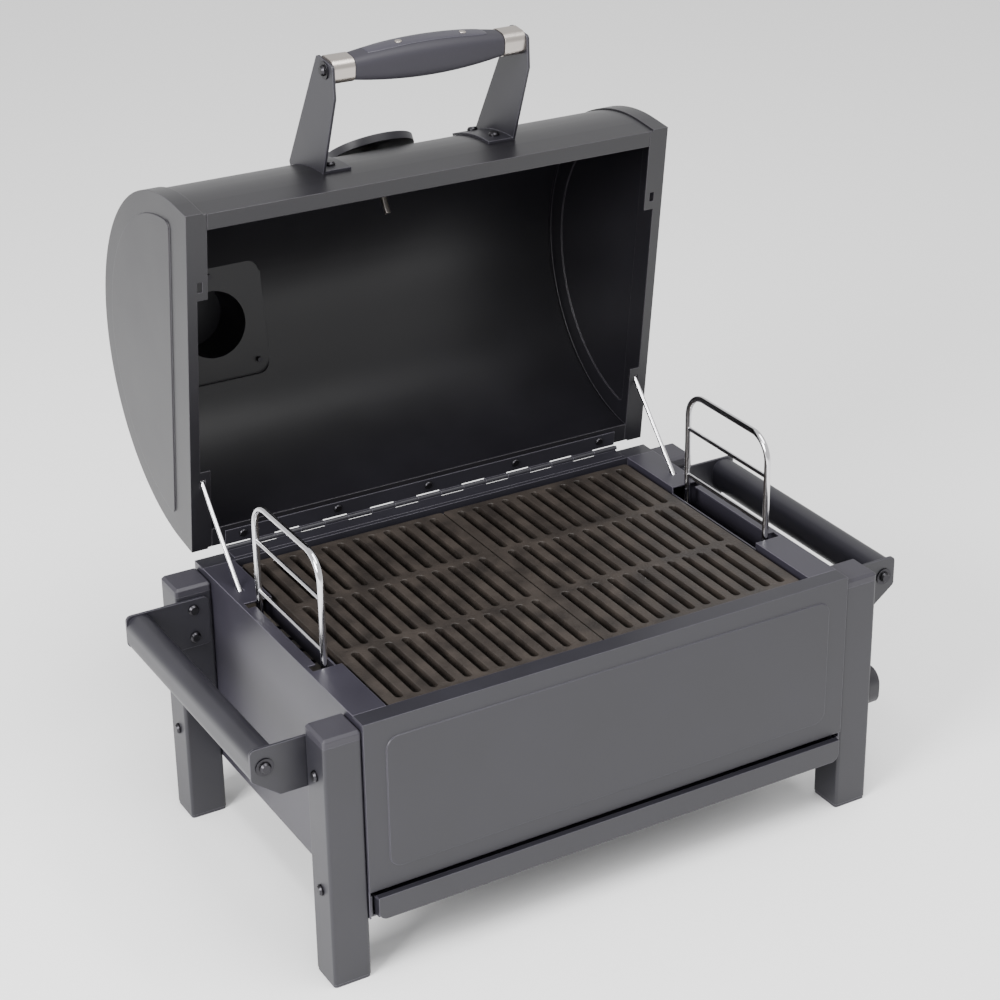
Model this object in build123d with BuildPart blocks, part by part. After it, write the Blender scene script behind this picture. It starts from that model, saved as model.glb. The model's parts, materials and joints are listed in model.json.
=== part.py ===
from build123d import *
import os
from math import atan2, ceil, cos, degrees, radians, sin, tan

# Tabletop charcoal grill and smoker with a barrel lid, shown with its lid open.
# Millimetres. X runs across the grill, -Y is the front, +Z is up.
# The model is laid out about the middle of the body, and save_all moves it so that
# the origin is the bottom centre of the whole open grill.

os.makedirs("parts", exist_ok=True)

# ---------------------------------------------------------------- driving dimensions
body_width = 490.0  # over the side panels
body_depth = 340.0  # over the front and back panels
rim_height = 247.0  # tabletop to the flat rim
sheet = 1.5  # body and lid sheet steel
panel_bottom = 85.0  # lower edge of the front and back panels
side_bottom = 58.0  # lower edge of the side panels
shelf_width = 31.0  # flat top of each side panel
rim_width = 18.5  # flat top of the front and back panels
rim_flange = 15.0  # turned-down edge round the grate opening
side_flange = 22.0
bead_margin = 20.0  # panel edge to the pressed field
bead_height = 1.0
bead_radius = 12.0

leg_size = 35.0
leg_wall = 1.5
leg_inset = 2.0  # behind the front and back faces
leg_corner = 3.0
glide_height = 3.0
cap_height = 8.0
cap_chamfer = 3.0
cap_gap = 5.0  # top of the leg cap to the rim
plug_depth = 10.0
plug_clearance = 0.15

handle_reach = 84.0  # side panel to the far face of the side handle
bracket_sheet = 2.5
bracket_height = 48.0
bracket_drop = 17.0  # rim to the top edge of a bracket
bracket_bite = 30.0  # how far a bracket overlaps its leg
bar_width = 25.0
bar_height = 34.0
bar_corner = 11.5
bar_wall = 1.8
bar_end = 8.0  # closed end that takes the screw

lid_gap = 5.0  # rim to the lid's opening plane, filled by the two hinge leaves
lid_wall_height = 25.0  # straight wall below the barrel
cap_band = 16.0  # end cap turned over the shell
shell_lap = 11.0  # how far the shell runs in under the band
skin_gap = 0.05  # between nested curved sheets
lid_flange = 15.0  # front and back edges turned into the opening
side_lip_wide = 18.0  # end cap edge turned into the opening
side_lip_narrow = 8.0  # the same beside the tray loops
side_lip_step = 87.0  # where the edge widens, from the middle
lid_open = 83.0  # degrees from level to the stop
emboss_margin = 20.0  # end cap edge to its raised field
emboss_floor = 35.0  # opening plane to the raised field
emboss_height = 1.5
emboss_corner = 8.0

pin_radius = 1.25
knuckle_wall = 1.2
pin_clearance = 0.05
leaf_sheet = 1.0
leaf_width = 15.0
hinge_back = 3.0  # hinge axis behind the back panel
hinge_length = 424.0
knuckle_count = 17
knuckle_gap = 0.4

grate_gap = 0.75  # half the gap between the two grates
grate_border = 5.0  # gap between a grate and the opening
grate_thickness = 12.0
grate_drop = 4.0  # rim to the cooking surface
slot_rows = 3
slot_count = 12
slot_width = 7.6
row_bar = 8.0  # solid bar between two rows of slots
end_bar = 7.0  # and at the front and back edges
ledge_width = 14.0

tray_floor = 190.0  # raised position
tray_wall = 25.0
tray_sheet = 1.2
tray_half_depth = 130.0
tray_side_gap = 3.0  # tray wall to the loop wire
tray_hole = 8.0
tray_pitch = 24.0
loop_wire = 3.0  # radius
loop_bar = 2.0  # radius of the cross bars
loop_half_span = 65.0
loop_top = 350.0
loop_corner = 24.0
loop_mid_bar = 309.0
loop_low_bar = 260.0
loop_inset = 17.0  # side panel face to the loop plane
loop_clearance = 3.0

pan_height = 17.0
pan_side_gap = 4.0
pan_lip_height = 22.0
pan_lip_front = 6.0  # in front of the front panel
pan_gap = 0.3
pan_back_gap = 5.0
rail_lift = 2.0  # lower edge of the side panel to the rail
rail_width = 15.5
rail_height = 20.0

stay_radius = 2.0
stay_inset = 12.0  # side panel face to the stay rod
stay_tab = 75.0  # hinge axis to the rod's pivot, along the closed lid
stay_bar = 13.0  # cross bar that hangs the rod in the lid
stay_foot = 8.0
stay_bend = 3.2
stay_clearance = 0.8
stay_stop_gap = 1.0  # foot to the underside of the shelf when the lid is open

arm_half_span = 98.5
arm_sheet = 2.5
arm_foot_width = 28.0
arm_low_angle = 3.5  # where an arm's foot starts and ends, in degrees up the barrel
arm_high_angle = 27.5
grip_reach = 98.5  # barrel to the grip's axis
grip_tip = 8.5  # grip's axis to the arm's end
grip_drop = 10.0  # grip axis above the barrel's centre height
arm_tip = 31.0  # width of an arm beside the ferrule
ferrule_length = 21.0
grip_end = (21.0, 25.0)  # thickness and width of the grip at its ends
grip_middle = (33.0, 35.0)

flue_offset = -142.0  # from the middle of the lid
flue_angle = 105.5  # degrees up the barrel from the front
flue_depth = 161.0  # lid axis to the inner face of the pressed seat
flue_pad = 108.0
flue_pad_length = 116.0
flue_pad_corner = 14.0
flue_bore = 66.0
flue_wall = 2.0
flue_length = 60.0
flue_base = (98.0, 110.0)
flue_flange = 92.0
flue_flange_sheet = 2.0
damper_sheet = 2.0
damper_gap = 0.4
damper_overlap = 3.0
flue_bolts = ((0.0, -48.0), (42.0, 43.0), (-42.0, 43.0))  # from the flue's axis

gauge_angle = 40.0  # degrees up the barrel from the front
gauge_radius = 43.0
gauge_depth = 7.5
gauge_standoff = 2.0
gauge_back = 1.2
gauge_stem = 3.0
gauge_stem_length = 62.0
gauge_rim = 3.5
needle_pin = 1.0
lens_sheet = 1.5

screw_radius = 2.5
head_radius = 5.0
head_height = 3.2
washer_radius = 8.0
washer_sheet = 1.2

opener_width = 30.0
opener_height = 37.0
opener_centre = 114.0  # above the tabletop
opener_reach = 12.5
opener_wall = 3.0

# ---------------------------------------------------------------- values that follow
half_width = body_width / 2
half_depth = body_depth / 2
shelf_edge = half_width - shelf_width
rim_edge = half_depth - rim_width
leg_front = half_depth - leg_inset
leg_middle = leg_front - leg_size / 2
leg_back = leg_front - leg_size
leg_outer = half_width + leg_size
leg_axis = half_width + leg_size / 2
cap_top = rim_height - cap_gap
bracket_top = rim_height - bracket_drop
bar_middle_x = half_width + handle_reach - bar_width / 2
bar_middle_z = bracket_top - bar_height / 2 - 1

hinge_y = half_depth + hinge_back
hinge_z = rim_height + lid_gap / 2
lid_plane_z = rim_height + lid_gap
lid_radius = half_depth
shell_radius = lid_radius - sheet - skin_gap
lid_centre_z = lid_plane_z + lid_wall_height
seam_x = half_width - cap_band

grate_top = rim_height - grate_drop
grate_bottom = grate_top - grate_thickness
grate_half_depth = rim_edge - grate_border
grate_edge = shelf_edge - grate_border

loop_x = half_width - loop_inset
stay_x = half_width - stay_inset
tray_half_width = loop_x - loop_wire - tray_side_gap
rail_bottom = side_bottom + rail_lift
pan_floor = rail_bottom + sheet + pan_gap
pan_half_width = half_width - sheet - pan_side_gap

turn_open = (
    Location((0, hinge_y, hinge_z)) * Location((0, 0, 0), (-lid_open, 0, 0)) * Location((0, -hinge_y, -hinge_z))
)


def opened(plane):
    """A plane given on the closed lid, carried round the hinge to the open lid."""
    return Plane(turn_open * plane.location)


def opened_point(y, z):
    """Where a point of the closed lid, given by its Y and Z, lies once the lid is open."""
    swing = radians(lid_open)
    back, up = y - hinge_y, z - hinge_z
    return hinge_y + back * cos(swing) + up * sin(swing), hinge_z - back * sin(swing) + up * cos(swing)


def barrel_plane(angle, radius, x=0.0):
    """A plane square to the closed lid's barrel, angle degrees up from the front."""
    out = (0, -cos(radians(angle)), sin(radians(angle)))
    origin = (x, radius * out[1], lid_centre_z + radius * out[2])
    return Plane(origin=origin, x_dir=(1, 0, 0), z_dir=out)


def section(x):
    """The upright plane across the grill's depth at x. Its own X runs to the back and its own Y up."""
    return Plane(origin=(x, 0, 0), x_dir=(0, 1, 0), z_dir=(1, 0, 0))


def outward(side, x, y=0.0, z=0.0):
    """A plane at distance x on one side, facing away from the middle. Its own Y runs up."""
    return Plane(origin=(side * x, y, z), x_dir=(0, side, 0), z_dir=(side, 0, 0))


def front_on(y, x=0.0, z=0.0):
    """A plane at y that faces the front. Its own X runs right and its own Y up."""
    return Plane(origin=(x, y, z), x_dir=(1, 0, 0), z_dir=(0, -1, 0))


def facing(side, y, x=0.0, z=0.0):
    """A plane at y that faces along side times Y. Its own Y runs up."""
    return Plane(origin=(x, y, z), x_dir=(-side, 0, 0), z_dir=(0, side, 0))


pieces = {}


def keep(name, part):
    """Labels a finished piece and keeps it for the export."""
    part.label = name
    pieces[name] = part


def draw_barrel(radius, bottom, mode=Mode.ADD):
    """Draws the lid's end outline on a section sketch: a half circle on straight walls."""
    with BuildLine() as outline:
        Line((-radius, bottom), (-radius, lid_centre_z))
        ThreePointArc((-radius, lid_centre_z), (0, lid_centre_z + radius), (radius, lid_centre_z))
        Line((radius, lid_centre_z), (radius, bottom))
        Line((radius, bottom), (-radius, bottom))
    make_face(outline.edges(), mode=mode)


def add_screw(seat, length, head=head_radius, height=head_height, washer=0.0):
    """Adds a pan-head screw to the part being built: its head stands on the plane seat."""
    if washer:
        with BuildSketch(seat) as ring:
            Circle(washer)
        extrude(ring.sketch, amount=washer_sheet)
    base = seat.offset(washer_sheet if washer else 0)
    with BuildSketch(base) as rim:
        Circle(head)
    extrude(rim.sketch, amount=height * 0.45)
    with BuildSketch(base.offset(height * 0.45)) as crown:
        Circle(head)
    extrude(crown.sketch, amount=height * 0.55, taper=38)
    with BuildSketch(seat) as shank:
        Circle(screw_radius)
    extrude(shank.sketch, amount=-length)


# ---------------------------------------------------------------- firebox
leg_screw_spots = [(leg_middle * dy, z) for dy in (-1, 1) for z in (rim_height - 46.0, side_bottom + 32.0)]
hole = screw_radius + skin_gap * 2

for name, side in (("firebox_front_panel", -1), ("firebox_back_panel", 1)):
    with BuildPart() as panel:
        # plate and the rim folded in along its top
        with BuildSketch(front_on(side * half_depth)):
            with Locations((0, (panel_bottom + rim_height) / 2)):
                Rectangle(body_width, rim_height - panel_bottom)
        extrude(amount=side * sheet)
        with BuildSketch(Plane.XY.offset(rim_height - sheet)):
            with Locations((0, side * (half_depth - rim_width / 2))):
                Rectangle(body_width, rim_width)
        extrude(amount=sheet)
        # edge turned down round the grate opening
        with BuildSketch(Plane.XY.offset(rim_height - rim_flange)):
            with Locations((0, side * (rim_edge + sheet / 2))):
                Rectangle(2 * shelf_edge, sheet)
        extrude(amount=rim_flange)
        # pressed field, raised outside and hollow inside
        field_width = body_width - 2 * bead_margin
        field_height = rim_height - panel_bottom - 2 * bead_margin + 4
        face = facing(side, side * half_depth, 0, (panel_bottom + rim_height) / 2)
        with BuildSketch(face):
            RectangleRounded(field_width, field_height, bead_radius)
        extrude(amount=bead_height, taper=20)
        with BuildSketch(face.offset(-sheet)):
            RectangleRounded(field_width - 2 * sheet, field_height - 2 * sheet, bead_radius - sheet)
        extrude(amount=bead_height, mode=Mode.SUBTRACT)
    keep(name, panel.part)

# the stay rods pass through a slot in each shelf: its ends come from the rods' whole swing
pivot_rise = sheet + stay_radius + 0.3
stay_y = hinge_y - stay_tab
pivot_y, pivot_z = opened_point(stay_y, lid_plane_z + pivot_rise)
stay_lean = degrees(atan2(pivot_y - stay_y, pivot_z - rim_height))
stay_length = (pivot_z - (rim_height - sheet - stay_stop_gap - stay_radius)) / cos(radians(stay_lean))
crossings = []
for step in range(41):
    swing = lid_open * step / 40
    turn = radians(swing)
    back, up = stay_y - hinge_y, lid_plane_z + pivot_rise - hinge_z
    top_y = hinge_y + back * cos(turn) + up * sin(turn)
    top_z = hinge_z - back * sin(turn) + up * cos(turn)
    lean = radians(stay_lean * step / 40)
    for level in (rim_height, rim_height - sheet):
        crossings.append(top_y - (top_z - level) * tan(lean) - stay_radius / cos(lean))
        crossings.append(top_y - (top_z - level) * tan(lean) + stay_radius / cos(lean))
stay_slot = (min(crossings) - stay_clearance, max(crossings) + stay_clearance)
notch_edge = loop_x + loop_wire + loop_clearance
notch_tee = notch_edge + 7.0
notch_half = loop_half_span + loop_wire + loop_clearance - 1

for name, side in (("firebox_left_side", -1), ("firebox_right_side", 1)):
    with BuildPart() as panel:
        with BuildSketch(outward(side, half_width - sheet)):
            with Locations((0, (side_bottom + rim_height - sheet) / 2)):
                Rectangle(2 * (half_depth - sheet), rim_height - sheet - side_bottom)
        extrude(amount=sheet)
        # flat shelf and the edge turned down from it
        with BuildSketch(Plane.XY.offset(rim_height - sheet)):
            with Locations((side * (half_width - shelf_width / 2), 0)):
                Rectangle(shelf_width, 2 * rim_edge)
        extrude(amount=sheet)
        with BuildSketch(Plane.XY.offset(rim_height - side_flange)):
            with Locations((side * (shelf_edge + sheet / 2), 0)):
                Rectangle(sheet, 2 * rim_edge)
        extrude(amount=side_flange)
        # notch that lets the tray loop and its cross bars sink, with a slot for each leg
        with BuildSketch(Plane.XY.offset(rim_height)):
            with Locations((side * (shelf_edge + notch_edge) / 2, 0)):
                Rectangle(notch_edge - shelf_edge + 0.02, 2 * notch_half)
            with Locations(*[(side * (shelf_edge + notch_tee) / 2, dy * loop_half_span) for dy in (-1, 1)]):
                Rectangle(notch_tee - shelf_edge, 2 * (loop_wire + loop_clearance) - 2)
        extrude(amount=-7.0, mode=Mode.SUBTRACT)
        with BuildSketch(Plane.XY.offset(rim_height)):
            with Locations((side * stay_x, sum(stay_slot) / 2)):
                Rectangle(2 * (stay_radius + stay_clearance), stay_slot[1] - stay_slot[0])
        extrude(amount=-2 * sheet, mode=Mode.SUBTRACT)
        with BuildSketch(outward(side, half_width)):
            with Locations(*[(side * y, z) for y, z in leg_screw_spots]):
                Circle(hole)
        extrude(amount=-2 * sheet, mode=Mode.SUBTRACT)
    keep(name, panel.part)

for name, side in (("pan_rail_left", -1), ("pan_rail_right", 1)):
    with BuildPart() as rail:
        with BuildSketch(facing(-1, -half_depth + sheet)):
            wall = half_width - sheet
            with Locations((side * (wall - sheet / 2), rail_bottom + rail_height / 2)):
                Rectangle(sheet, rail_height)
            with Locations((side * (wall - rail_width / 2), rail_bottom + sheet / 2)):
                Rectangle(rail_width, sheet)
        extrude(amount=-2 * (half_depth - sheet) + 3)
    keep(name, rail.part)

for name, side in (("grate_ledge_front", -1), ("grate_ledge_rear", 1)):
    with BuildPart() as ledge:
        with BuildSketch(section(-shelf_edge + 2)):
            with Locations((side * (rim_edge - ledge_width / 2), grate_bottom - sheet / 2)):
                Rectangle(ledge_width, sheet)
            with Locations((side * (rim_edge - sheet / 2), grate_bottom + 3)):
                Rectangle(sheet, 9)
        extrude(amount=2 * shelf_edge - 4)
    keep(name, ledge.part)

# ---------------------------------------------------------------- legs and side handles
bracket_holes = [(half_width + 20.0, bracket_top - 10.3), (half_width + 20.0, bracket_top - 38.0)]
leg_top = cap_top - cap_height
corners = [("front_left", -1, -1), ("front_right", 1, -1), ("rear_left", -1, 1), ("rear_right", 1, 1)]
for place, side, end in corners:
    with BuildPart() as leg:
        with BuildSketch(Plane.XY.offset(glide_height)):
            with Locations((side * leg_axis, end * leg_middle)):
                RectangleRounded(leg_size, leg_size, leg_corner)
                Rectangle(leg_size - 2 * leg_wall, leg_size - 2 * leg_wall, mode=Mode.SUBTRACT)
        extrude(amount=leg_top - glide_height)
        with BuildSketch(outward(side, leg_outer)):
            with Locations(*[(side * y, z) for y, z in leg_screw_spots if y * end > 0]):
                Circle(hole)
        extrude(amount=-leg_size, mode=Mode.SUBTRACT)
        if place == "front_right":
            with BuildSketch(outward(side, leg_outer, -leg_middle, opener_centre + 8)):
                Circle(hole)
            extrude(amount=-leg_wall, mode=Mode.SUBTRACT)
        with BuildSketch(front_on(end * leg_back)):
            with Locations(*[(side * x, z) for x, z in bracket_holes]):
                Circle(hole)
        extrude(amount=end * -leg_wall * 2, mode=Mode.SUBTRACT)
    keep(f"leg_{place}", leg.part)

    with BuildPart() as cap:
        inner = leg_size - 2 * (leg_wall + plug_clearance)
        with BuildSketch(Plane.XY.offset(leg_top)):
            with Locations((side * leg_axis, end * leg_middle)):
                RectangleRounded(leg_size, leg_size, leg_corner)
        extrude(amount=cap_height)
        chamfer(cap.edges().group_by(Axis.Z)[-1], cap_chamfer * 0.8)
        with BuildSketch(Plane.XY.offset(leg_top)):
            with Locations((side * leg_axis, end * leg_middle)):
                Rectangle(inner, inner)
                Rectangle(inner - 5, inner - 5, mode=Mode.SUBTRACT)
        extrude(amount=-plug_depth)
    keep(f"leg_cap_{place}", cap.part)

    with BuildPart() as glide:
        with BuildSketch(Plane.XY):
            with Locations((side * leg_axis, end * leg_middle)):
                RectangleRounded(leg_size - 1, leg_size - 1, leg_corner)
        extrude(amount=glide_height)
        with BuildSketch(Plane.XY.offset(glide_height)):
            with Locations((side * leg_axis, end * leg_middle)):
                Rectangle(inner, inner)
                Rectangle(inner - 5, inner - 5, mode=Mode.SUBTRACT)
        extrude(amount=plug_depth)
    keep(f"foot_glide_{place}", glide.part)

    with BuildPart() as bracket:
        left, right = half_width + 5.0, half_width + handle_reach
        with BuildSketch(front_on(end * leg_back)):
            with BuildLine():
                Polyline(
                    (side * left, bracket_top - bracket_height),
                    (side * left, bracket_top),
                    (side * right, bracket_top),
                    (side * right, bracket_top - 29),
                    (side * (right - 25), bracket_top - bracket_height),
                    close=True,
                )
            make_face()
            fillet(vertices(), 5)
            with Locations(*[(side * x, z) for x, z in bracket_holes], (side * bar_middle_x, bar_middle_z)):
                Circle(hole, mode=Mode.SUBTRACT)
        extrude(amount=end * bracket_sheet)
    keep(f"handle_bracket_{place}", bracket.part)

with BuildPart() as leg_screws:
    for side in (-1, 1):
        for y, z in leg_screw_spots:
            add_screw(outward(side, leg_outer, y, z), leg_size + sheet + 4)
    add_screw(outward(1, leg_outer + opener_wall, -leg_middle, opener_centre + 8), opener_wall + leg_wall + 4)
keep("leg_screws", leg_screws.part)

bar_half = leg_back - bracket_sheet
for name, side in (("side_handle_left", -1), ("side_handle_right", 1)):
    with BuildPart() as bar:
        with BuildSketch(front_on(-bar_half)):
            with Locations((side * bar_middle_x, bar_middle_z)):
                RectangleRounded(bar_width, bar_height, bar_corner)
        extrude(amount=-2 * bar_half)
        for end in (-1, 1):
            with BuildSketch(facing(end, end * bar_half, side * bar_middle_x, bar_middle_z)):
                Circle(hole)
            extrude(amount=-16, mode=Mode.SUBTRACT)
    keep(name, bar.part)

with BuildPart() as side_handle_screws:
    for side in (-1, 1):
        for end in (-1, 1):
            for x, z in bracket_holes:
                add_screw(facing(-end, end * (leg_back - bracket_sheet), side * x, z), bracket_sheet + leg_wall + 4)
            seat = facing(end, end * leg_back, side * bar_middle_x, bar_middle_z)
            add_screw(seat, bracket_sheet + 12, washer=washer_radius)
keep("side_handle_screws", side_handle_screws.part)

# bottle opener on the front right leg: a hooded ring with a lifting tooth
with BuildPart() as bottle_opener:
    seat = outward(1, leg_outer, -leg_middle, opener_centre)
    with BuildSketch(seat):
        RectangleRounded(opener_width, opener_height, opener_width / 2 - 1)
    extrude(amount=opener_wall)
    with BuildSketch(seat):
        RectangleRounded(opener_width, opener_height, opener_width / 2 - 1)
        offset(amount=-opener_wall, mode=Mode.SUBTRACT)
    extrude(amount=opener_reach)
    with BuildSketch(seat.offset(opener_reach - opener_wall)):
        RectangleRounded(opener_width, opener_height, opener_width / 2 - 1)
        with Locations((0, -8)):
            RectangleRounded(opener_width - 2 * opener_wall, opener_height - 16, 9, mode=Mode.SUBTRACT)
    extrude(amount=opener_wall)
    with BuildSketch(seat):
        with Locations((0, 8)):
            Circle(hole)
    extrude(amount=opener_wall, mode=Mode.SUBTRACT)
keep("bottle_opener", bottle_opener.part)

# ---------------------------------------------------------------- hinge
knuckle_radius = pin_radius + pin_clearance + knuckle_wall
knuckle_pitch = hinge_length / knuckle_count
leaf_hem = hinge_y - knuckle_radius - 0.6


def add_knuckles(place, leaf_z, first):
    """Adds every second knuckle of the hinge, each with the strip that joins it to its leaf."""
    for index in range(first, knuckle_count, 2):
        left = -hinge_length / 2 + index * knuckle_pitch + knuckle_gap / 2
        with BuildSketch(place(section(left))) as knuckle:
            with Locations((hinge_y, hinge_z)):
                Circle(knuckle_radius)
            with Locations(((leaf_hem + hinge_y) / 2 - 0.5, leaf_z + leaf_sheet / 2)):
                Rectangle(hinge_y - leaf_hem + 1, leaf_sheet)
        extrude(knuckle.sketch, amount=knuckle_pitch - knuckle_gap)
    with BuildSketch(place(section(-hinge_length / 2))) as barrel:
        with Locations((hinge_y, hinge_z)):
            Circle(pin_radius + pin_clearance)
    extrude(barrel.sketch, amount=hinge_length, mode=Mode.SUBTRACT)


def as_built(plane):
    """Leaves a plane where it is, for the half of the hinge on the body."""
    return plane


with BuildPart() as hinge_body_leaf:
    with BuildSketch(Plane.XY.offset(hinge_z - knuckle_radius)):
        with Locations((0, leaf_hem - leaf_width / 2)):
            Rectangle(hinge_length, leaf_width)
    extrude(amount=leaf_sheet)
    add_knuckles(as_built, hinge_z - knuckle_radius, 0)
keep("hinge_body_leaf", hinge_body_leaf.part)

with BuildPart() as hinge_pin:
    with BuildSketch(section(-hinge_length / 2 - 1.5)):
        with Locations((hinge_y, hinge_z)):
            Circle(pin_radius)
    extrude(amount=hinge_length + 3)
    for end in (-1, 1):
        with BuildSketch(section(end * (hinge_length / 2 + 0.5))):
            with Locations((hinge_y, hinge_z)):
                Circle(pin_radius + 0.8)
        extrude(amount=end * 1.5)
keep("hinge_pin", hinge_pin.part)

hinge_screw_spots = [(-194.0, 0), (-97.0, 0), (0.0, 0), (97.0, 0), (194.0, 0)]
hinge_screw_y = hinge_y - 11.5
with BuildPart() as hinge_lid_leaf:
    with BuildSketch(opened(Plane.XY.offset(lid_plane_z))):
        with Locations((0, leaf_hem - leaf_width / 2)):
            Rectangle(hinge_length, leaf_width)
        with Locations(*[(x, hinge_screw_y) for x, _ in hinge_screw_spots]):
            Circle(hole, mode=Mode.SUBTRACT)
    extrude(amount=-leaf_sheet)
    add_knuckles(opened, lid_plane_z - leaf_sheet, 1)
keep("hinge_lid_leaf", hinge_lid_leaf.part)

with BuildPart() as hinge_screws:
    for x, _ in hinge_screw_spots:
        seat = Plane(origin=(x, hinge_screw_y, lid_plane_z - leaf_sheet), x_dir=(1, 0, 0), z_dir=(0, 0, -1))
        add_screw(opened(seat), leaf_sheet + sheet + 4, head=4.0, height=1.8)
keep("hinge_screws", hinge_screws.part)

# ---------------------------------------------------------------- lid
shell_half = seam_x + shell_lap
seat_plane = barrel_plane(flue_angle, flue_depth, flue_offset)
arm_spots = [(side * (arm_half_span - arm_foot_width / 2), angle) for side in (-1, 1) for angle in (8.5, 22.5)]

skin_middle = shell_radius - sheet / 2

with BuildPart() as seat_low:
    # skirt of the pressed seat where the seat lies inside the barrel's skin
    with BuildSketch(opened(seat_plane.offset(-8))):
        RectangleRounded(flue_pad, flue_pad_length, flue_pad_corner)
        offset(amount=-sheet, mode=Mode.SUBTRACT)
    extrude(amount=8 + sheet)
    with BuildSketch(opened(section(-shell_half))):
        with Locations((0, lid_centre_z)):
            Circle(skin_middle)
    extrude(amount=2 * shell_half, mode=Mode.SUBTRACT)

with BuildPart() as seat_high:
    # and where it stands out of the skin
    with BuildSketch(opened(seat_plane)):
        RectangleRounded(flue_pad, flue_pad_length, flue_pad_corner)
        offset(amount=-sheet, mode=Mode.SUBTRACT)
    extrude(amount=12)
    with BuildSketch(opened(section(-shell_half))):
        with Locations((0, lid_centre_z)):
            Circle(skin_middle)
    extrude(amount=2 * shell_half, mode=Mode.INTERSECT)

with BuildPart() as lid_shell:
    with BuildSketch(opened(section(-shell_half))):
        draw_barrel(shell_radius, lid_plane_z)
        draw_barrel(shell_radius - sheet, lid_plane_z - 1, Mode.SUBTRACT)
    extrude(amount=2 * shell_half)
    # edges turned into the opening, clear of the end caps' own edges
    lip_end = half_width - sheet - side_lip_wide - 0.5
    with BuildSketch(opened(Plane.XY.offset(lid_plane_z))):
        with Locations(*[(side * (lip_end + shell_lap + 10), 0) for side in (-1, 1)]):
            Rectangle(2 * (shell_lap + 10), 2 * half_depth)
    extrude(amount=sheet + 0.5, mode=Mode.SUBTRACT)
    with BuildSketch(opened(Plane.XY.offset(lid_plane_z))):
        for side, width in ((-1, lid_flange), (1, rim_width)):
            with Locations((0, side * (shell_radius - width / 2))):
                Rectangle(2 * lip_end, width)
        with Locations(*[(x, hinge_screw_y) for x, _ in hinge_screw_spots]):
            Circle(hole, mode=Mode.SUBTRACT)
    extrude(amount=sheet)
    # holes for the gauge and the handle screws
    with BuildSketch(opened(barrel_plane(gauge_angle, shell_radius + 2))):
        Circle(gauge_stem + skin_gap)
    extrude(amount=-8, mode=Mode.SUBTRACT)
    for x, angle in arm_spots:
        with BuildSketch(opened(barrel_plane(angle, shell_radius + 2, x))):
            Circle(hole)
        extrude(amount=-8, mode=Mode.SUBTRACT)
    # pressed seat for the flue
    with BuildSketch(opened(seat_plane.offset(-12))):
        RectangleRounded(flue_pad - 2 * sheet, flue_pad_length - 2 * sheet, flue_pad_corner - sheet)
    extrude(amount=30, mode=Mode.SUBTRACT)
    add(seat_low.part)
    add(seat_high.part)
    with BuildSketch(opened(seat_plane)):
        RectangleRounded(flue_pad, flue_pad_length, flue_pad_corner)
        Circle(flue_bore / 2, mode=Mode.SUBTRACT)
        with Locations(*flue_bolts):
            Circle(hole, mode=Mode.SUBTRACT)
    extrude(amount=sheet)
keep("lid_shell", lid_shell.part)

slot_lean = radians(lid_open - stay_lean)
lip_slot = (
    stay_y - stay_radius - stay_clearance,
    stay_y + pivot_rise * tan(slot_lean) + stay_radius / cos(slot_lean) + stay_clearance,
)
for name, side in (("lid_cap_left", -1), ("lid_cap_right", 1)):
    with BuildPart() as cap:
        # end plate and the band turned over the shell
        with BuildSketch(opened(section(side * (half_width - sheet)))):
            draw_barrel(lid_radius, lid_plane_z)
        extrude(amount=side * sheet)
        with BuildSketch(opened(section(side * seam_x))):
            draw_barrel(lid_radius, lid_plane_z)
            draw_barrel(lid_radius - sheet, lid_plane_z, Mode.SUBTRACT)
        extrude(amount=side * cap_band)
        # edge turned into the opening: wide at both ends, narrow beside the tray loops
        inner = half_width - sheet
        with BuildSketch(opened(Plane.XY.offset(lid_plane_z))):
            with Locations((side * (inner - side_lip_wide / 2), 0)):
                Rectangle(side_lip_wide, 2 * (lid_radius - sheet))
            with Locations((side * (inner - side_lip_wide), 0)):
                Rectangle(2 * (side_lip_wide - side_lip_narrow), 2 * side_lip_step, mode=Mode.SUBTRACT)
            middle = sum(lip_slot) / 2
            with Locations((side * stay_x, middle), (side * stay_x, -middle)):
                Rectangle(2 * (stay_radius + stay_clearance / 2), lip_slot[1] - lip_slot[0], mode=Mode.SUBTRACT)
        extrude(amount=sheet)
        # raised field, hollow inside
        field = lid_radius - emboss_margin
        with BuildSketch(opened(section(side * half_width))):
            with Locations((0, lid_centre_z)):
                Circle(field)
            with Locations((0, lid_plane_z + emboss_floor - field)):
                Rectangle(2 * field + 2, 2 * field, mode=Mode.SUBTRACT)
            fillet(vertices().group_by(Axis.Y)[0], emboss_corner)
        extrude(amount=side * emboss_height, taper=20)
        with BuildSketch(opened(section(side * (half_width - sheet)))):
            with Locations((0, lid_centre_z)):
                Circle(field - sheet)
            with Locations((0, lid_plane_z + emboss_floor + sheet - field)):
                Rectangle(2 * field + 2, 2 * field, mode=Mode.SUBTRACT)
            fillet(vertices().group_by(Axis.Y)[0], emboss_corner - sheet)
        extrude(amount=side * emboss_height, mode=Mode.SUBTRACT)
    keep(name, cap.part)

# ---------------------------------------------------------------- lid handle
foot_inner = shell_radius + skin_gap
grip_y = -(shell_radius + grip_reach)
grip_z = lid_centre_z + grip_drop
ferrule_inner = arm_half_span - arm_sheet - ferrule_length


def on_barrel(radius, angle):
    """Y and Z of a point on the closed lid's barrel."""
    return -radius * cos(radians(angle)), lid_centre_z + radius * sin(radians(angle))


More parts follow.
